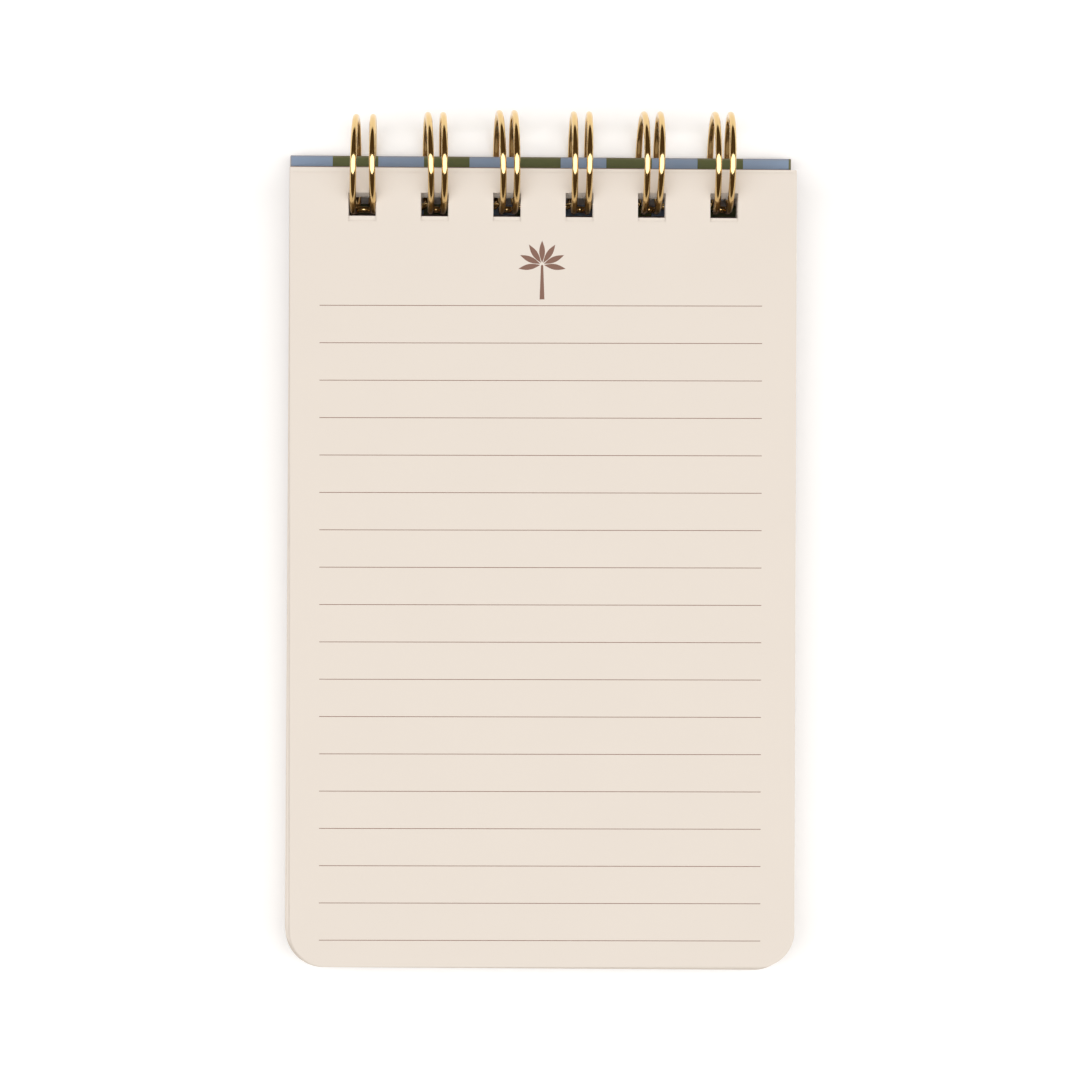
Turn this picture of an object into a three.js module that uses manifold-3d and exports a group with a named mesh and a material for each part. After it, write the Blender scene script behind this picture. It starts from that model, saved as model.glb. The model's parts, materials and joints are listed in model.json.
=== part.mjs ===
import Module from "manifold-3d";
import * as THREE from "three";
import { mergeVertices } from "three/addons/utils/BufferGeometryUtils.js";

// A pocket notebook: fifty ruled sheets between two board covers, all hung on one twin-loop wire.
// It lies face up with its front cover folded right round, underneath the back cover.
//
// Millimetres. +X runs along the wire, +Y points from the pages towards the wire, and +Z is up.
// The origin is on the table, under the middle of the notebook.

// Leaves. The sheets and both covers are cut to one outline, and the covers are punched wider.
const LEAF_WIDTH = 88.9;
const LEAF_HEIGHT = 139.7;
const CORNER_RADIUS = 6.35;
const CORNER_STEPS = 6;
const HOLE_WIDTH = 4.9;
const HOLE_HEIGHT = 4.93;
const HOLE_MARGIN = 3.56;

// Sheets.
const SHEET_COUNT = 50;
const SHEET_THICKNESS = 0.145;
const SHEET_SPACING = 0.165;

// Covers.
const BOARD_THICKNESS = 1.1;
const BOARD_SPACING = 1.15;
const BOARD_HOLE_WIDTH = 6.1;

// Wire. The comb's pitch is the usual one of two holes to the inch.
const LOOP_PITCH = 12.7;
const WIRE_DIAMETER = 1.15;
const WIRE_SIDES = 6;
const LOOP_INSIDE_DIAMETER = 15.9;
const BEND_RADIUS = 1.3;
const BEND_STEPS = 3;
const LEG_STEPS = 24;

// Angles about the loop axis, in degrees: 0 faces away from the pages, 90 is straight up, and 180
// faces the pages. The comb's bars and the loops' tips meet under the last sheet.
const BAR_ANGLE = -150.9;
const TIP_ANGLE = 200;

// Each pair of loops is bent by machine and knocked about a little by use: its sideways shift, how
// far it twists sideways from the pages' side to the far side and leans from bottom to top, half the
// gap between its legs at the bar and at the tip, and how far it bulges away from the pages.
const LOOPS = [
  { shift: 0.15, twist: 0.13, lean: 0.03, barHalf: 1.2, tipHalf: 1.85, bulge: -0.4 },
  { shift: 0.12, twist: -0.11, lean: 0.5, barHalf: 1.58, tipHalf: 1.05, bulge: -0.05 },
  { shift: -0.02, twist: -0.12, lean: 0.59, barHalf: 1.5, tipHalf: 1.09, bulge: 0.28 },
  { shift: 0.26, twist: 0.08, lean: 0.26, barHalf: 1.52, tipHalf: 1.17, bulge: 0.05 },
  { shift: -0.05, twist: 0.13, lean: 0.49, barHalf: 1.7, tipHalf: 1.08, bulge: 0.05 },
  { shift: -0.19, twist: 0.06, lean: 0.36, barHalf: 1.63, tipHalf: 1.08, bulge: 0 },
];

// Places of the leaves about the loop axis: the height of a top face at the loops, the slope down
// to the far end, and the turn of a leaf in its own plane, in degrees.
const PAGES_TOP = 5;
const PAGES_SLOPE = 1.43;
const SHEET_TURN = -0.39;
const SHEET_SLACK = -0.1;
const TOP_SHEET_TURN = -0.115;
const TOP_SHEET_SLIP = -0.98;
const TOP_SHEET_LIFT = 0.12;
const TURN_WANDER = 0.04;
const SHIFT_WANDER = 0.06;
const COVERS_TOP = -4.8;
const COVERS_SLOPE = 0.849;
const COVER_TURN = -0.41;
const COVER_SHIFT = -0.5;
const BACK_COVER_EDGE = -0.55;
const FRONT_COVER_EDGE = 1.4;

const LOOP_RADIUS = (LOOP_INSIDE_DIAMETER + WIRE_DIAMETER) / 2;
const HOLE_ROW_DEPTH = HOLE_MARGIN + HOLE_HEIGHT / 2;

// A shape draws each of its arcs with two steps for every curve segment asked for.
const STEPS_PER_SEGMENT = 2;

// Points closer than this are one point of a solid.
const MERGE_DISTANCE = 1e-4;

const wasm = await Module();
wasm.setup();

const { clamp, degToRad, lerp, radToDeg } = THREE.MathUtils;

function namedMesh(name, geometry, color, roughness, metalness) {
  const material = new THREE.MeshStandardMaterial({ color, roughness, metalness });
  const mesh = new THREE.Mesh(geometry, material);
  mesh.name = name;
  return mesh;
}

// Where pair number index stands along the wire.
function loopCentre(index) {
  return (index - (LOOPS.length - 1) / 2) * LOOP_PITCH;
}

// The solid inside a closed geometry, ready to be cut.
function solidFrom(geometry) {
  const bare = geometry.clone().deleteAttribute("normal").deleteAttribute("uv");
  const merged = mergeVertices(bare, MERGE_DISTANCE);
  const vertProperties = merged.getAttribute("position").array;
  const triVerts = new Uint32Array(merged.index.array);
  return new wasm.Manifold(new wasm.Mesh({ numProp: 3, vertProperties, triVerts }));
}

function geometryFrom(solid) {
  const { vertProperties, triVerts } = solid.getMesh();
  const geometry = new THREE.BufferGeometry();
  geometry.setAttribute("position", new THREE.BufferAttribute(vertProperties, 3));
  geometry.setIndex(new THREE.BufferAttribute(triVerts, 1));
  const faceted = geometry.toNonIndexed();
  faceted.computeVertexNormals();
  return faceted;
}

// A leaf's outline, with its row of holes along its own X axis: square corners at the wire, round
// ones at the far end.
function leafOutline() {
  const side = LEAF_WIDTH / 2;
  const top = HOLE_ROW_DEPTH;
  const centre = top - LEAF_HEIGHT + CORNER_RADIUS;
  const outline = new THREE.Shape();
  outline.moveTo(side, top);
  outline.lineTo(-side, top);
  outline.absarc(-side + CORNER_RADIUS, centre, CORNER_RADIUS, Math.PI, Math.PI * 1.5);
  outline.absarc(side - CORNER_RADIUS, centre, CORNER_RADIUS, Math.PI * 1.5, Math.PI * 2);
  outline.closePath();
  return outline;
}

// One leaf, cut to its outline and punched.
function leafGeometry(thickness, holeWidth) {
  const uncut = new THREE.ExtrudeGeometry(leafOutline(), {
    depth: thickness,
    bevelEnabled: false,
    curveSegments: CORNER_STEPS / STEPS_PER_SEGMENT,
  });
  let leaf = solidFrom(uncut);
  LOOPS.forEach((loop, index) => {
    const punch = new THREE.BoxGeometry(holeWidth, HOLE_HEIGHT, thickness * 3);
    punch.translate(loopCentre(index), 0, 0);
    leaf = leaf.subtract(solidFrom(punch));
  });
  return geometryFrom(leaf);
}

// A small swing either way that differs from sheet to sheet.
function wander(index, reach) {
  return reach * Math.sin(index * 2.4);
}

// The sheets follow the wire's curve through their holes. The first has slipped a little further
// out than the rest, and has a little air under it.
function pageStack() {
  const pages = new THREE.Group();
  pages.rotation.x = degToRad(PAGES_SLOPE);
  const geometry = leafGeometry(SHEET_THICKNESS, HOLE_WIDTH);
  for (let index = 0; index < SHEET_COUNT; index += 1) {
    const name = `sheet_${String(index + 1).padStart(2, "0")}`;
    const sheet = namedMesh(name, geometry, 0xe9e0d5, 0.9, 0);
    const isTop = index === 0;
    const lift = isTop ? TOP_SHEET_LIFT : 0;
    const bottom = PAGES_TOP - SHEET_THICKNESS - index * SHEET_SPACING + lift;
    const onWire = -Math.sqrt(LOOP_RADIUS ** 2 - (bottom + SHEET_THICKNESS / 2) ** 2);
    const slip = isTop ? TOP_SHEET_SLIP : wander(index + 1, SHIFT_WANDER);
    const shift = isTop ? 0 : wander(index, SHIFT_WANDER) - SHIFT_WANDER;
    const turn = isTop ? TOP_SHEET_TURN : SHEET_TURN + wander(index, TURN_WANDER);
    sheet.position.set(shift, onWire + SHEET_SLACK + slip, bottom);
    sheet.rotation.z = degToRad(turn);
    pages.add(sheet);
  }
  return pages;
}

// The back cover under the pages, and the front cover folded behind it with its outside upwards.
function covers() {
  const group = new THREE.Group();
  group.rotation.x = degToRad(COVERS_SLOPE);
  const geometry = leafGeometry(BOARD_THICKNESS, BOARD_HOLE_WIDTH);
  const boards = [
    { name: "back_cover", edge: BACK_COVER_EDGE, color: 0x99817d },
    { name: "front_cover", edge: FRONT_COVER_EDGE, color: 0x8a9cb4 },
  ];
  boards.forEach(({ name, edge, color }, index) => {
    const board = namedMesh(name, geometry, color, 0.7, 0);
    const bottom = COVERS_TOP - BOARD_THICKNESS - index * BOARD_SPACING;
    board.position.set(COVER_SHIFT, edge - HOLE_ROW_DEPTH, bottom);
    board.rotation.z = degToRad(COVER_TURN);
    group.add(board);
  });
  return group;
}

// A point of the comb, which is a flat bent wire rolled round the loop axis. Side is -1 on a
// pair's left leg and 1 on its right one, and 0 halfway between them.
function combPoint(index, angle, side, extraX = 0) {
  const loop = LOOPS[index];
  const share = (angle - BAR_ANGLE) / (TIP_ANGLE - BAR_ANGLE);
  const half = lerp(loop.barHalf, loop.tipHalf, clamp(share, 0, 1));
  const turn = degToRad(angle);
  const radius = LOOP_RADIUS + loop.bulge * Math.max(0, Math.cos(turn)) ** 2;
  const middle = loop.shift + loop.twist * Math.cos(turn) + loop.lean * Math.sin(turn);
  const x = loopCentre(index) + middle + side * half + extraX;
  return new THREE.Vector3(x, radius * Math.cos(turn), radius * Math.sin(turn));
}

// The bend between a pair's leg and the bar beside it, from the bar to the leg.
function barBend(index, side) {
  const points = [];
  const bendAngle = radToDeg(BEND_RADIUS / LOOP_RADIUS);
  for (let step = 0; step < BEND_STEPS; step += 1) {
    const turn = (step / BEND_STEPS) * (Math.PI / 2);
    const out = BEND_RADIUS * (1 - Math.sin(turn));
    points.push(combPoint(index, BAR_ANGLE + bendAngle * (1 - Math.cos(turn)), side, side * out));
  }
  return points;
}

// One leg from just past its bar bend up to where the tip's bend starts.
function leg(index, side, hasBar) {
  const points = [];
  const from = hasBar ? BAR_ANGLE + radToDeg(BEND_RADIUS / LOOP_RADIUS) : BAR_ANGLE;
  const to = TIP_ANGLE - radToDeg(LOOPS[index].tipHalf / LOOP_RADIUS);
  for (let step = 0; step < LEG_STEPS; step += 1) {
    points.push(combPoint(index, lerp(from, to, step / LEG_STEPS), side));
  }
  return points;
}

// The round tip that joins a pair's two legs.
function tipBend(index) {
  const points = [];
  const bendAngle = radToDeg(LOOPS[index].tipHalf / LOOP_RADIUS);
  const steps = BEND_STEPS * 2;
  for (let step = 0; step <= steps; step += 1) {
    const turn = (step / steps) * Math.PI;
    const angle = TIP_ANGLE - bendAngle * (1 - Math.sin(turn));
    points.push(combPoint(index, angle, -Math.cos(turn)));
  }
  return points;
}

// A curve that an extrusion follows from point to point, so that tight bends keep all their steps.
class WirePath extends THREE.CatmullRomCurve3 {
  getSpacedPoints() {
    return this.points;
  }
  getTangentAt(share, target) {
    return this.getTangent(share, target);
  }
}

function wirePath() {
  const points = [];
  LOOPS.forEach((loop, index) => {
    const isFirst = index === 0;
    const isLast = index === LOOPS.length - 1;
    if (!isFirst) points.push(...barBend(index, -1));
    points.push(...leg(index, -1, !isFirst));
    points.push(...tipBend(index));
    points.push(...leg(index, 1, !isLast).reverse());
    if (!isLast) points.push(...barBend(index, 1).reverse());
  });
  return new WirePath(points);
}

function twinLoopWire() {
  const path = wirePath();
  const section = new THREE.Shape();
  section.absarc(0, 0, WIRE_DIAMETER / 2, 0, Math.PI * 2);
  const geometry = new THREE.ExtrudeGeometry(section, {
    steps: path.points.length - 1,
    curveSegments: WIRE_SIDES / STEPS_PER_SEGMENT,
    extrudePath: path,
  });
  return namedMesh("twin_loop_wire", geometry, 0xd9b46a, 0.25, 1);
}

const notebook = new THREE.Group();
const book = new THREE.Group();
book.add(twinLoopWire(), pageStack(), covers());
notebook.add(book);

// The loop axis is the book's own X axis until the whole book is set down on the table.
const extent = new THREE.Box3().setFromObject(book, true);
const centre = extent.getCenter(new THREE.Vector3());
book.position.set(-centre.x, -centre.y, -extent.min.z);

export default notebook;
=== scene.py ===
"""A pocket notebook on a gold twin-loop wire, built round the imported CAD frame.

Every leaf takes its place from its CAD node, and the wire takes its place from the joints' axis. Lengths
are in millimetres, and MM turns them into Blender's metres.
"""

import json
import math
from collections import namedtuple

import bpy
from mathutils import Matrix, Vector


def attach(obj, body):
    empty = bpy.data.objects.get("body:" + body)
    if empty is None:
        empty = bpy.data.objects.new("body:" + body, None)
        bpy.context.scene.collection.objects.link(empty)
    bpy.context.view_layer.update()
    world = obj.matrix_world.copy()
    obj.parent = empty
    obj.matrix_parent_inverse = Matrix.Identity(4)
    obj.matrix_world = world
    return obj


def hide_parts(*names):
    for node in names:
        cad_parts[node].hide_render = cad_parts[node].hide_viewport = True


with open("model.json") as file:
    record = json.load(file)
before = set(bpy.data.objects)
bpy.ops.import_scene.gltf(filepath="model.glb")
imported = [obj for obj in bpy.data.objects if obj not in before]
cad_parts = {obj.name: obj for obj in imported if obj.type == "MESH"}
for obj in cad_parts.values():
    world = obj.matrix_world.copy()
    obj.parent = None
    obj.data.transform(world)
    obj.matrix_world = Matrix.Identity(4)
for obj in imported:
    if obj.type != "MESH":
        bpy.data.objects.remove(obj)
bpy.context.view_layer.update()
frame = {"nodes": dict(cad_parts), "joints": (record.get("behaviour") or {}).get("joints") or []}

MM = 0.001

# Leaves, in their own coordinates: x along the wire, y = 0 on the row of holes, z through the leaf.
LEAF_WIDTH = 88.9
LEAF_HEIGHT = 139.7
CORNER_RADIUS = 6.35
CORNER_STEPS = 24
HOLE_WIDTH = 4.9
HOLE_HEIGHT = 4.93
HOLE_MARGIN = 3.56
LEAF_SIDE = LEAF_WIDTH / 2
LEAF_TOP = HOLE_MARGIN + HOLE_HEIGHT / 2
SHEET_THICKNESS = 0.145
BOARD_THICKNESS = 1.1
BOARD_HOLE_WIDTH = 6.1
BOARD_EDGE_RADIUS = 0.14
BOARD_EDGE_SEGMENTS = 3
BOARD_EDGE_LEAST_ANGLE = 50

# The sheets of each body, counted from the first page.
SHEET_BODIES = {
    "sheet_01": range(1, 2),
    "sheet_02": range(2, 3),
    "sheet_03": range(3, 4),
    "front_sheets": range(4, 19),
    "middle_sheets": range(19, 35),
    "rear_sheets": range(35, 51),
}

# The print on a page. Only the sheets that can come to lie on top of a body carry it.
PRINT_HEIGHT = 0.01
PRINT_ROOT = 0.005
RULE_COUNT = 18
RULE_SPACING = 6.57
RULE_WIDTH = 0.115
RULE_LEFT = -39.25
RULE_RIGHT = 38.45
FIRST_RULE_DEPTH = 23.32

# The plant at the head of a page: a stem under an even fan of lens-shaped leaves.
PLANT_X = -0.2
PLANT_FOOT_DEPTH = 22.22
PLANT_STEM_HEIGHT = 6.1
PLANT_STEM_FOOT_HALF = 0.42
PLANT_STEM_HEAD_HALF = 0.2
PLANT_LEAF_COUNT = 7
PLANT_LEAF_SWEEP = 200
PLANT_LEAF_GAP = 0.35
PLANT_LEAF_LENGTH = 3.85
PLANT_LEAF_HALF = 0.5
PLANT_LEAF_STEPS = 10

# The wire: a flat comb, rolled up. Angles are about the loop axis in degrees, from the side that faces
# away from the pages, by way of the top.
LOOP_PITCH = 12.7
WIRE_DIAMETER = 1.15
WIRE_RESOLUTION = 6
LOOP_INSIDE_DIAMETER = 15.9
LOOP_RADIUS = (LOOP_INSIDE_DIAMETER + WIRE_DIAMETER) / 2
BEND_RADIUS = 1.3
BEND_STEPS = 10
LEG_STEPS = 110
BAR_ANGLE = -150.9
TIP_ANGLE = 200

# For each pair of loops: its sideways shift, how far it twists sideways from the pages' side to the far
# side and leans from bottom to top, half the gap between its legs at the bar and at the tip, and how
# far it bulges away from the pages.
Loop = namedtuple("Loop", "shift twist lean bar_half tip_half bulge")
LOOPS = (
    Loop(0.15, 0.13, 0.03, 1.2, 1.85, -0.4),
    Loop(0.12, -0.11, 0.5, 1.58, 1.05, -0.05),
    Loop(-0.02, -0.12, 0.59, 1.5, 1.09, 0.28),
    Loop(0.26, 0.08, 0.26, 1.52, 1.17, 0.05),
    Loop(-0.05, 0.13, 0.49, 1.7, 1.08, 0.05),
    Loop(-0.19, 0.06, 0.36, 1.63, 1.08, 0),
)

# The striped cover: each stripe's width, and where the first green one starts.
STRIPE_WIDTH = 8.095
FIRST_GREEN = -36.92

# How far in from a board's border its print is rubbed, and how much of it is gone at the border.
RUB_DEPTH = 0.45
RUB_MOST = 0.75

# Linear colours.
PAPER = (0.745, 0.683, 0.617, 1)
PAPER_SHADES = (0.985, 1, 0.97)
PAPER_CONTRAST = 0.025
INK = (0.23, 0.125, 0.092, 1)
BLUE = (0.245, 0.325, 0.46, 1)
GREEN = (0.098, 0.112, 0.032, 1)
MAUVE = (0.32, 0.222, 0.207, 1)
MAUVE_SHADE = 0.9
BOARD_CORE = (0.34, 0.27, 0.21, 1)
GOLD = (0.74, 0.53, 0.245, 1)
WHITE = (1, 1, 1, 1)


def axis_origin():
    """The loop axis's point in the middle of the row of loops."""
    return Vector(frame["joints"][0]["pos_m"])


# Materials.


def material(name, color, roughness, metallic=0.0, specular=0.5):
    """A new Principled material, with its tree and its shader node."""
    made = bpy.data.materials.new(name)
    made.use_nodes = True
    tree = made.node_tree
    shader = tree.nodes["Principled BSDF"]
    shader.inputs["Base Color"].default_value = color
    shader.inputs["Roughness"].default_value = roughness
    shader.inputs["Metallic"].default_value = metallic
    shader.inputs["Specular IOR Level"].default_value = specular
    return made, tree, shader


def shaded_color(color, shade):
    return tuple(channel * shade for channel in color[:3]) + (1,)


def leaf_coordinates(tree):
    """A leaf's own x and y, in millimetres."""
    node = tree.nodes.new("ShaderNodeUVMap")
    node.uv_map = "leaf"
    return node.outputs["UV"]


def noise(tree, vector, scale, detail=2.0, roughness=0.5):
    node = tree.nodes.new("ShaderNodeTexNoise")
    node.inputs["Scale"].default_value = scale
    node.inputs["Detail"].default_value = detail
    node.inputs["Roughness"].default_value = roughness
    tree.links.new(vector, node.inputs["Vector"])
    return node.outputs["Fac"]


def spread(tree, value, low, high):
    """A value from 0 to 1, carried to the range from low to high."""
    node = tree.nodes.new("ShaderNodeMapRange")
    node.inputs["To Min"].default_value = low
    node.inputs["To Max"].default_value = high
    tree.links.new(value, node.inputs["Value"])
    return node.outputs["Result"]


def math_node(tree, operation, first, second, third=None):
    node = tree.nodes.new("ShaderNodeMath")
    node.operation = operation
    for socket, value in zip(node.inputs, (first, second, third)):
        if value is None:
            continue
        if isinstance(value, (int, float)):
            socket.default_value = value
        else:
            tree.links.new(value, socket)
    return node.outputs["Value"]


def mixed(tree, factor, first, second, blend_type="MIX"):
    """Two colours, mixed. Each is four numbers or an output."""
    node = tree.nodes.new("ShaderNodeMix")
    node.data_type = "RGBA"
    node.blend_type = blend_type
    sockets = {socket.identifier: socket for socket in node.inputs}
    pairs = (("Factor_Float", factor), ("A_Color", first), ("B_Color", second))
    for name, value in pairs:
        if isinstance(value, (int, float, tuple)):
            sockets[name].default_value = value
        else:
            tree.links.new(value, sockets[name])
    outputs = {socket.identifier: socket for socket in node.outputs}
    return outputs["Result_Color"]


def bump(tree, shader, height, distance, strength=1.0):
    node = tree.nodes.new("ShaderNodeBump")
    node.inputs["Strength"].default_value = strength
    node.inputs["Distance"].default_value = distance
    tree.links.new(height, node.inputs["Height"])
    tree.links.new(node.outputs["Normal"], shader.inputs["Normal"])


def paper_material(name, shade=1.0, is_patterned=False):
    """Uncoated cream paper: fibres in its relief and, on pages that can be seen, in its colour."""
    color = shaded_color(PAPER, shade)
    made, tree, shader = material(name, color, 0.88, specular=0.3)
    place = leaf_coordinates(tree)
    fibres = noise(tree, place, 5.0, detail=6.0, roughness=0.7)
    bump(tree, shader, fibres, 0.012 * MM, 0.5)
    if is_patterned:
        clouds = noise(tree, place, 0.06, detail=3.0)
        half_clouds = math_node(tree, "MULTIPLY", clouds, 0.5)
        value = math_node(tree, "MULTIPLY_ADD", fibres, 0.5, half_clouds)
        dark = shaded_color(color, 1 - PAPER_CONTRAST)
        light = shaded_color(color, 1 + PAPER_CONTRAST)
        tree.links.new(mixed(tree, value, dark, light), shader.inputs["Base Color"])
    return made


def board_face_material(name, color_of):
    """A printed paper face on a board, a little rubbed along its borders."""
    made, tree, shader = material(name, WHITE, 0.6, specular=0.4)
    place = leaf_coordinates(tree)
    grain = noise(tree, place, 3.0, detail=5.0, roughness=0.65)
    clouds = noise(tree, place, 0.15, detail=3.0)
    color = color_of(tree, place)
    shade = spread(tree, clouds, 0.94, 1.06)
    shaded = mixed(tree, 1.0, color, shade, "MULTIPLY")
    rubbed = mixed(tree, rub(tree, place, grain), shaded, BOARD_CORE)
    tree.links.new(rubbed, shader.inputs["Base Color"])
    tree.links.new(spread(tree, grain, 0.5, 0.72), shader.inputs["Roughness"])
    bump(tree, shader, grain, 0.02 * MM, 0.5)
    return made


def rub(tree, place, grain):
    """How far the print has worn off, along the long sides and the top."""
    parts = tree.nodes.new("ShaderNodeSeparateXYZ")
    tree.links.new(place, parts.inputs["Vector"])
    across = math_node(tree, "ABSOLUTE", parts.outputs["X"], None)
    from_side = math_node(tree, "SUBTRACT", LEAF_SIDE, across)
    from_top = math_node(tree, "SUBTRACT", LEAF_TOP, parts.outputs["Y"])
    nearest = math_node(tree, "MINIMUM", from_side, from_top)
    node = tree.nodes.new("ShaderNodeMapRange")
    node.inputs["From Min"].default_value = RUB_DEPTH
    node.inputs["From Max"].default_value = 0
    node.inputs["To Max"].default_value = RUB_MOST
    tree.links.new(nearest, node.inputs["Value"])
    return math_node(tree, "MULTIPLY", node.outputs["Result"], grain)


def stripes(tree, place):
    """Green and blue stripes, straight across the cover."""
    parts = tree.nodes.new("ShaderNodeSeparateXYZ")
    tree.links.new(place, parts.inputs["Vector"])
    offset = -FIRST_GREEN / (2 * STRIPE_WIDTH)
    pairs = math_node(tree, "MULTIPLY_ADD", parts.outputs["X"], 1 / (2 * STRIPE_WIDTH), offset)
    phase = math_node(tree, "FRACT", pairs, None)
    is_green = math_node(tree, "LESS_THAN", phase, 0.5)
    return mixed(tree, is_green, BLUE, GREEN)


def plain(tree, place):
    """Mauve with a faint mottle."""
    mottle = noise(tree, place, 0.4, detail=4.0)
    return mixed(tree, mottle, MAUVE, shaded_color(MAUVE, MAUVE_SHADE))


def board_core_material():
    """The cut edge of a greyboard, with its layers."""
    made, tree, shader = material("board_core", BOARD_CORE, 0.9, specular=0.2)
    coordinates = tree.nodes.new("ShaderNodeTexCoord")
    layers = noise(tree, coordinates.outputs["Object"], 4000.0, detail=3.0)
    bump(tree, shader, layers, 0.05 * MM, 0.6)
    return made


def ink_material():
    made, tree, shader = material("ink", INK, 0.7, specular=0.3)
    coordinates = tree.nodes.new("ShaderNodeTexCoord")
    grain = noise(tree, coordinates.outputs["Object"], 9000.0, detail=2.0)
    bump(tree, shader, grain, 0.004 * MM, 0.4)
    return made


def gold_material():
    """Bright gold plating over drawn steel wire, with a few fine scuffs in its gloss."""
    made, tree, shader = material("gold", GOLD, 0.09, metallic=1.0)
    coordinates = tree.nodes.new("ShaderNodeTexCoord")
    scuffs = noise(tree, coordinates.outputs["Object"], 1800.0, detail=4.0, roughness=0.6)
    tree.links.new(spread(tree, scuffs, 0.05, 0.14), shader.inputs["Roughness"])
    bump(tree, shader, scuffs, 0.004 * MM, 0.3)
    return made


# Meshes.


def new_object(name, vertices, faces, materials):
    """A mesh object from points in millimetres."""
    mesh = bpy.data.meshes.new(name)
    mesh.from_pydata([tuple(MM * part for part in vertex) for vertex in vertices], [], faces)
    for each in materials:
        mesh.materials.append(each)
    made = bpy.data.objects.new(name, mesh)
    bpy.context.scene.collection.objects.link(made)
    return made


def slab(outline_faces, loops, points, low, high):
    """Vertices and faces of a closed slab: its top, bottom and walls."""
    count = len(points)
    vertices = [(x, y, low) for x, y in points] + [(x, y, high) for x, y in points]
    tops = [tuple(index + count for index in face) for face in outline_faces]
    bottoms = [tuple(reversed(face)) for face in outline_faces]
    walls = []
    for loop in loops:
        for start, end in zip(loop, loop[1:] + loop[:1]):
            walls.append((start, end, end + count, start + count))
    return vertices, tops, bottoms, walls


def hole_edges(hole_width):
    """The x of every hole's left and right edge, from left to right."""
    edges = []
    for index in range(len(LOOPS)):
        centre = loop_centre(index)
        edges += [centre - hole_width / 2, centre + hole_width / 2]
    return edges


def leaf_plan(hole_width):
    """Points, faces and border loops of a leaf seen from above.

    Three lines of points run across the leaf: its top edge and the tops and bottoms of the holes. Quads
    fill the space between them, and one face fills the rest, down to the round corners.
    """
    columns = [-LEAF_SIDE] + hole_edges(hole_width) + [LEAF_SIDE]
    last = len(columns) - 1
    rows = [LEAF_TOP, HOLE_HEIGHT / 2, -HOLE_HEIGHT / 2]
    points = [(x, y) for y in rows for x in columns]

    def at(row, column):
        return row * len(columns) + column

    faces, holes = [], []
    for column in range(last):
        faces.append((at(1, column), at(1, column + 1), at(0, column + 1), at(0, column)))
        ring = [at(2, column), at(2, column + 1), at(1, column + 1), at(1, column)]
        if column % 2:
            holes.append(ring[::-1])
        else:
            faces.append(tuple(ring))

    arcs = []
    centre_y = LEAF_TOP - LEAF_HEIGHT + CORNER_RADIUS
    for side, start in ((-1, 180), (1, 270)):
        centre_x = side * (LEAF_SIDE - CORNER_RADIUS)
        for step in range(CORNER_STEPS + 1):
            turn = math.radians(start + 90 * step / CORNER_STEPS)
            out, up = CORNER_RADIUS * math.cos(turn), CORNER_RADIUS * math.sin(turn)
            arcs.append(len(points))
            points.append((centre_x + out, centre_y + up))
    faces.append(tuple(arcs + [at(2, column) for column in range(last, -1, -1)]))
    border = arcs + [at(2, last), at(1, last), at(0, last)]
    border += [at(0, column) for column in range(last - 1, -1, -1)] + [at(1, 0), at(2, 0)]
    return points, faces, [border] + holes


def leaf_object(name, thickness, hole_width, face, back, edge):
    """One leaf, with a material each for its upper face, its lower face and its cut edges."""
    points, plan_faces, loops = leaf_plan(hole_width)
    vertices, tops, bottoms, walls = slab(plan_faces, loops, points, 0, thickness)
    made = new_object(name, vertices, tops + bottoms + walls, (face, back, edge))
    groups = [0] * len(tops) + [1] * len(bottoms) + [2] * len(walls)
    made.data.polygons.foreach_set("material_index", groups)
    layer = made.data.uv_layers.new(name="leaf")
    for loop in made.data.loops:
        place = made.data.vertices[loop.vertex_index].co
        layer.data[loop.index].uv = (place.x / MM, place.y / MM)
    return made


def leaf_placement(node):
    """Where a leaf lies: the matrix that carries its own coordinates to the frame's.

    It is read from the two square corners at the wire, on the leaf's lower face, and from the left one on
    its upper face.
    """
    corners = [vertex.co for vertex in frame["nodes"][node].data.vertices]

    def corner(side, up):
        return max(corners, key=lambda place: place.y + side * place.x + up * place.z / 2)

    left, right, left_upper = corner(-1, -1), corner(1, -1), corner(-1, 1)
    x_axis = (right - left).normalized()
    z_axis = (left_upper - left).normalized()
    y_axis = z_axis.cross(x_axis)
    origin = (left + right) / 2 - y_axis * LEAF_TOP * MM
    placement = Matrix((x_axis, y_axis, z_axis)).transposed().to_4x4()
    placement.translation = origin
    return placement


def prism(points, low, high):
    """A closed prism over a ring of points that runs anticlockwise."""
    ring = list(range(len(points)))
    vertices, tops, bottoms, walls = slab([tuple(ring)], [ring], points, low, high)
    return vertices, tops + bottoms + walls


def prisms_object(name, rings, low, high, ink):
    """Many separate prisms in one object."""
    vertices, faces = [], []
    for ring in rings:
        more, more_faces = prism(ring, low, high)
        base = len(vertices)
        vertices += more
        faces += [tuple(index + base for index in face) for face in more_faces]
    return new_object(name, vertices, faces, (ink,))


def rule_rings():
    rings = []
    for index in range(RULE_COUNT):
        y = LEAF_TOP - FIRST_RULE_DEPTH - index * RULE_SPACING
        low, high = y - RULE_WIDTH / 2, y + RULE_WIDTH / 2
        rings.append([(RULE_LEFT, low), (RULE_RIGHT, low), (RULE_RIGHT, high), (RULE_LEFT, high)])
    return rings


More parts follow.
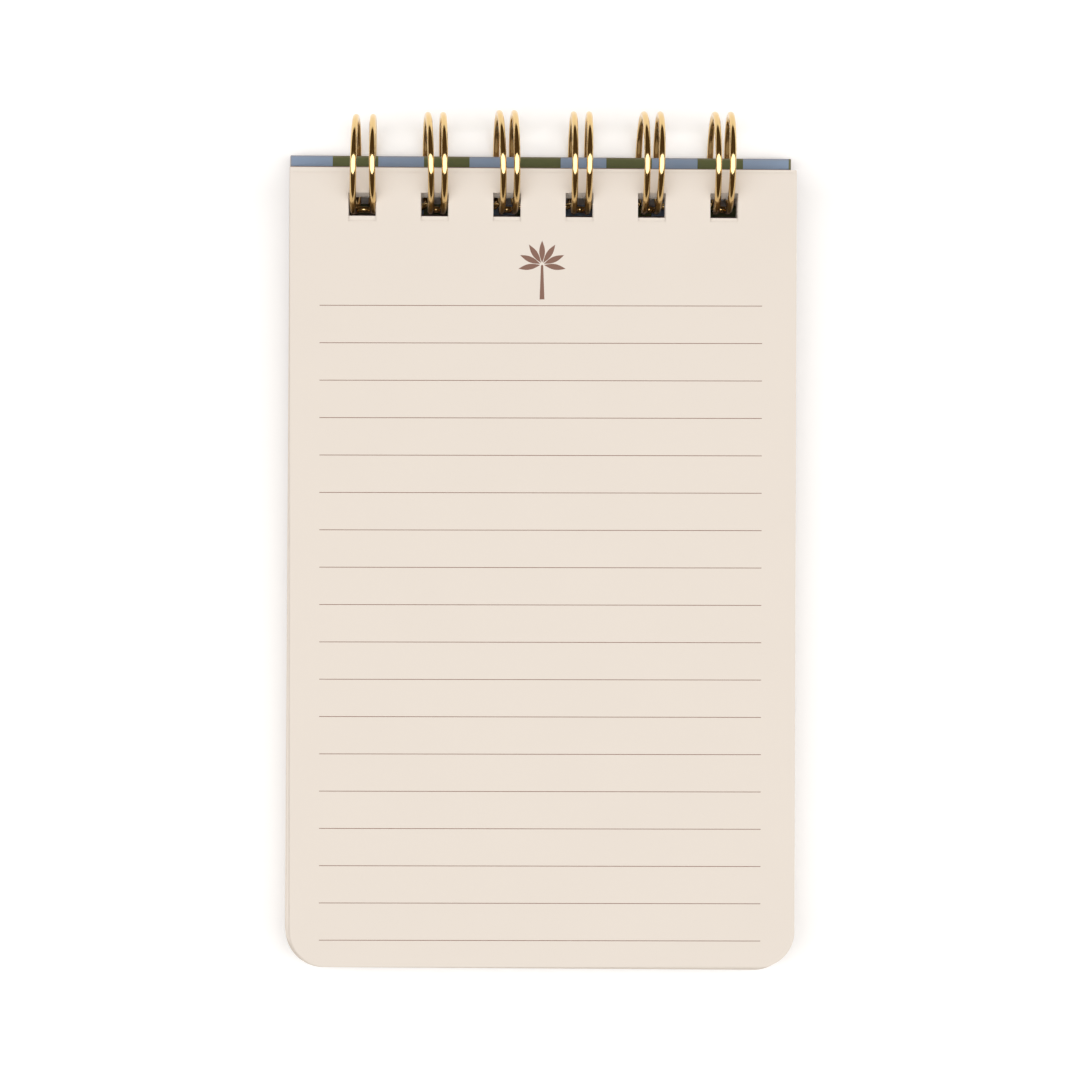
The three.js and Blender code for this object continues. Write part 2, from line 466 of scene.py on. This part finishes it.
def plant_rings():
    """The stem, and the fan of leaves round its head."""
    foot = LEAF_TOP - PLANT_FOOT_DEPTH
    head = foot + PLANT_STEM_HEIGHT
    rings = [
        [
            (PLANT_X - PLANT_STEM_FOOT_HALF, foot),
            (PLANT_X + PLANT_STEM_FOOT_HALF, foot),
            (PLANT_X + PLANT_STEM_HEAD_HALF, head - PLANT_STEM_HEAD_HALF),
            (PLANT_X, head),
            (PLANT_X - PLANT_STEM_HEAD_HALF, head - PLANT_STEM_HEAD_HALF),
        ]
    ]
    for index in range(PLANT_LEAF_COUNT):
        share = index / (PLANT_LEAF_COUNT - 1) - 0.5
        rings.append(plant_leaf(head, math.radians(90 + PLANT_LEAF_SWEEP * share)))
    return rings


def plant_leaf(head, turn):
    """A lens-shaped leaf that points away from the stem's head."""
    along = Vector((math.cos(turn), math.sin(turn)))
    across = Vector((-along.y, along.x))
    start = Vector((PLANT_X, head)) + along * PLANT_LEAF_GAP
    sides = []
    for side in (-1, 1):
        for step in range(PLANT_LEAF_STEPS):
            share = step / PLANT_LEAF_STEPS
            reach = share if side < 0 else 1 - share
            width = side * PLANT_LEAF_HALF * math.sin(math.pi * reach)
            sides.append(tuple(start + along * PLANT_LEAF_LENGTH * reach + across * width))
    return sides


# The wire.


def loop_centre(index):
    return (index - (len(LOOPS) - 1) / 2) * LOOP_PITCH


def comb_point(index, angle, side, extra_x=0.0):
    """A point of the wire. Side is -1 on a pair's left leg and 1 on its right one."""
    loop = LOOPS[index]
    share = min(max((angle - BAR_ANGLE) / (TIP_ANGLE - BAR_ANGLE), 0), 1)
    half = loop.bar_half + (loop.tip_half - loop.bar_half) * share
    turn = math.radians(angle)
    middle = loop.shift + loop.twist * math.cos(turn) + loop.lean * math.sin(turn)
    x = loop_centre(index) + middle + side * half + extra_x
    radius = LOOP_RADIUS + loop.bulge * max(0, math.cos(turn)) ** 2
    return Vector((x, radius * math.cos(turn), radius * math.sin(turn)))


def bend_angle(radius):
    """The angle about the loop axis that a bend of this radius takes up."""
    return math.degrees(radius / LOOP_RADIUS)


def bar_bend(index, side):
    """The bend between a leg and the bar beside it, from the bar to the leg."""
    points = []
    for step in range(BEND_STEPS):
        turn = step / BEND_STEPS * math.pi / 2
        angle = BAR_ANGLE + bend_angle(BEND_RADIUS) * (1 - math.cos(turn))
        points.append(comb_point(index, angle, side, side * BEND_RADIUS * (1 - math.sin(turn))))
    return points


def leg(index, side, has_bar):
    """One leg, from its bar bend or its loose end up to the tip's bend."""
    start = BAR_ANGLE + (bend_angle(BEND_RADIUS) if has_bar else 0)
    end = TIP_ANGLE - bend_angle(LOOPS[index].tip_half)
    angles = [start + (end - start) * step / LEG_STEPS for step in range(LEG_STEPS)]
    return [comb_point(index, angle, side) for angle in angles]


def tip_bend(index):
    """The round tip that joins a pair's two legs."""
    points = []
    steps = BEND_STEPS * 2
    for step in range(steps + 1):
        turn = step / steps * math.pi
        angle = TIP_ANGLE - bend_angle(LOOPS[index].tip_half) * (1 - math.sin(turn))
        points.append(comb_point(index, angle, -math.cos(turn)))
    return points


def wire_points():
    points = []
    last = len(LOOPS) - 1
    for index in range(len(LOOPS)):
        if index > 0:
            points += bar_bend(index, -1)
        points += leg(index, -1, index > 0)
        points += tip_bend(index)
        points += reversed(leg(index, 1, index < last))
        if index < last:
            points += reversed(bar_bend(index, 1))
    return points


def wire_object(gold):
    """The whole comb as one round wire along its path."""
    curve = bpy.data.curves.new("gold_wire", "CURVE")
    curve.dimensions = "3D"
    curve.bevel_depth = WIRE_DIAMETER / 2 * MM
    curve.bevel_resolution = WIRE_RESOLUTION
    curve.use_fill_caps = True
    points = wire_points()
    spline = curve.splines.new("POLY")
    spline.points.add(len(points) - 1)
    for target, place in zip(spline.points, points):
        target.co = (*(place * MM), 1)
    spline.use_smooth = True
    curve.materials.append(gold)
    made = bpy.data.objects.new("gold_wire", curve)
    made.location = axis_origin()
    bpy.context.scene.collection.objects.link(made)
    return made


# The notebook.


def add_board(name, node, body, face, back, edge):
    made = leaf_object(name, BOARD_THICKNESS, BOARD_HOLE_WIDTH, face, back, edge)
    made.matrix_world = leaf_placement(node)
    bevel = made.modifiers.new("edge", "BEVEL")
    bevel.width = BOARD_EDGE_RADIUS * MM
    bevel.segments = BOARD_EDGE_SEGMENTS
    bevel.limit_method = "ANGLE"
    bevel.angle_limit = math.radians(BOARD_EDGE_LEAST_ANGLE)
    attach(made, body)
    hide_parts(node)


def add_covers():
    core = board_core_material()
    inside = board_face_material("mauve_lining", plain)
    outside = board_face_material("striped_print", stripes)
    add_board("striped_cover", "front_cover", "front_cover", outside, inside, core)
    add_board("plain_cover", "back_cover", "binding", inside, inside, core)


def add_print(sheet, number, ink):
    """The rules and the plant on the upper face of a sheet."""
    low = SHEET_THICKNESS - PRINT_ROOT
    high = SHEET_THICKNESS + PRINT_HEIGHT
    for name, rings in (("ruling", rule_rings()), ("plant", plant_rings())):
        made = prisms_object(f"{name}_{number:02d}", rings, low, high, ink)
        made.matrix_world = sheet.matrix_world
        made.parent = sheet
        made.matrix_parent_inverse = sheet.matrix_world.inverted()


def add_sheets():
    ink = ink_material()
    page = paper_material("page_paper", is_patterned=True)
    shades = [paper_material(f"paper_shade_{index}", shade) for index, shade in enumerate(PAPER_SHADES)]
    for body, numbers in SHEET_BODIES.items():
        for number in numbers:
            shade = shades[number % len(shades)]
            face = page if number == numbers[0] else shade
            back = page if number == numbers[-1] else shade
            sheet = leaf_object(f"paper_{number:02d}", SHEET_THICKNESS, HOLE_WIDTH, face, back, shade)
            node = f"sheet_{number:02d}"
            sheet.matrix_world = leaf_placement(node)
            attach(sheet, body)
            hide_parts(node)
            if number == numbers[0]:
                add_print(sheet, number, ink)


def add_wire():
    wire = wire_object(gold_material())
    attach(wire, "binding")
    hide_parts("twin_loop_wire")


# The studio.

FLOOR_RADIUS = 3000
FLOOR_RIM_RADIUS = 500
FLOOR_RIM_ANGLE = 60
FLOOR_DROP = 0.01
FLOOR_STEPS = 64
RIM_STEPS = 12
FLOOR_COLOR = (0.9, 0.9, 0.9, 1)
FLOOR_GLOW = 0.2
GLOW_SHADE_WIDTH = 86
GLOW_SHADE_LOW = -71
GLOW_SHADE_HIGH = 65

CAMERA_HEIGHT = 914
CAMERA_LENS = 171.0
CAMERA_SENSOR = 36
CAMERA_FROM_AXIS = (-0.585, -66.49)

SOFTBOX_HEIGHT = 1000
SOFTBOX_LENGTH = 5400
SOFTBOX_WIDTH = 800
SOFTBOX_FROM_AXIS = -116
SOFTBOX_POWER = 39
WORLD_COLOR = (0.08, 0.053, 0.026, 1)


def add_floor():
    """A white floor that glows a little and curves up all round."""
    profile = [(FLOOR_RADIUS, 0)]
    for step in range(1, RIM_STEPS + 1):
        turn = math.radians(FLOOR_RIM_ANGLE * step / RIM_STEPS)
        out = FLOOR_RADIUS + FLOOR_RIM_RADIUS * math.sin(turn)
        profile.append((out, FLOOR_RIM_RADIUS * (1 - math.cos(turn))))
    vertices = []
    for radius, height in profile:
        for step in range(FLOOR_STEPS):
            turn = 2 * math.pi * step / FLOOR_STEPS
            vertices.append((radius * math.cos(turn), radius * math.sin(turn), height - FLOOR_DROP))
    faces = [tuple(range(FLOOR_STEPS))]
    for ring in range(RIM_STEPS):
        for step in range(FLOOR_STEPS):
            start = ring * FLOOR_STEPS + step
            end = ring * FLOOR_STEPS + (step + 1) % FLOOR_STEPS
            faces.append((start, start + FLOOR_STEPS, end + FLOOR_STEPS, end))
    made, tree, shader = material("studio_floor", FLOOR_COLOR, 0.9, specular=0.1)
    shader.inputs["Emission Color"].default_value = WHITE
    tree.links.new(floor_glow(tree), shader.inputs["Emission Strength"])
    new_object("floor", vertices, faces, (made,))


def floor_glow(tree):
    """The floor's glow: none right under the notebook, where the leaves' holes would let it through."""
    place = tree.nodes.new("ShaderNodeNewGeometry").outputs["Position"]
    parts = tree.nodes.new("ShaderNodeSeparateXYZ")
    tree.links.new(place, parts.inputs["Vector"])
    middle = (GLOW_SHADE_LOW + GLOW_SHADE_HIGH) / 2 * MM
    depth = math_node(tree, "ABSOLUTE", math_node(tree, "SUBTRACT", parts.outputs["Y"], middle), None)
    across = math_node(tree, "ABSOLUTE", parts.outputs["X"], None)
    is_beside = math_node(tree, "GREATER_THAN", across, GLOW_SHADE_WIDTH / 2 * MM)
    is_beyond = math_node(tree, "GREATER_THAN", depth, (GLOW_SHADE_HIGH - GLOW_SHADE_LOW) / 2 * MM)
    is_open = math_node(tree, "MAXIMUM", is_beside, is_beyond)
    return math_node(tree, "MULTIPLY", is_open, FLOOR_GLOW)


def add_lights():
    """One long softbox overhead, along the wire, in a dim warm room."""
    light = bpy.data.lights.new("softbox", "AREA")
    light.shape = "RECTANGLE"
    light.size = SOFTBOX_LENGTH * MM
    light.size_y = SOFTBOX_WIDTH * MM
    light.energy = SOFTBOX_POWER
    lamp = bpy.data.objects.new("softbox", light)
    lamp.location = (0, axis_origin().y + SOFTBOX_FROM_AXIS * MM, SOFTBOX_HEIGHT * MM)
    lamp.visible_camera = False
    bpy.context.scene.collection.objects.link(lamp)
    world = bpy.data.worlds.new("studio")
    world.use_nodes = True
    world.node_tree.nodes["Background"].inputs["Color"].default_value = WORLD_COLOR
    bpy.context.scene.world = world


def add_camera():
    """A long lens straight above the page."""
    camera = bpy.data.cameras.new("camera")
    camera.lens = CAMERA_LENS
    camera.sensor_width = CAMERA_SENSOR
    holder = bpy.data.objects.new("camera", camera)
    axis = axis_origin()
    across, along = CAMERA_FROM_AXIS
    holder.location = (axis.x + across * MM, axis.y + along * MM, CAMERA_HEIGHT * MM)
    bpy.context.scene.collection.objects.link(holder)
    bpy.context.scene.camera = holder


add_camera()
add_covers()
add_sheets()
add_wire()
add_floor()
add_lights()
bpy.context.scene.view_settings.view_transform = "Standard"
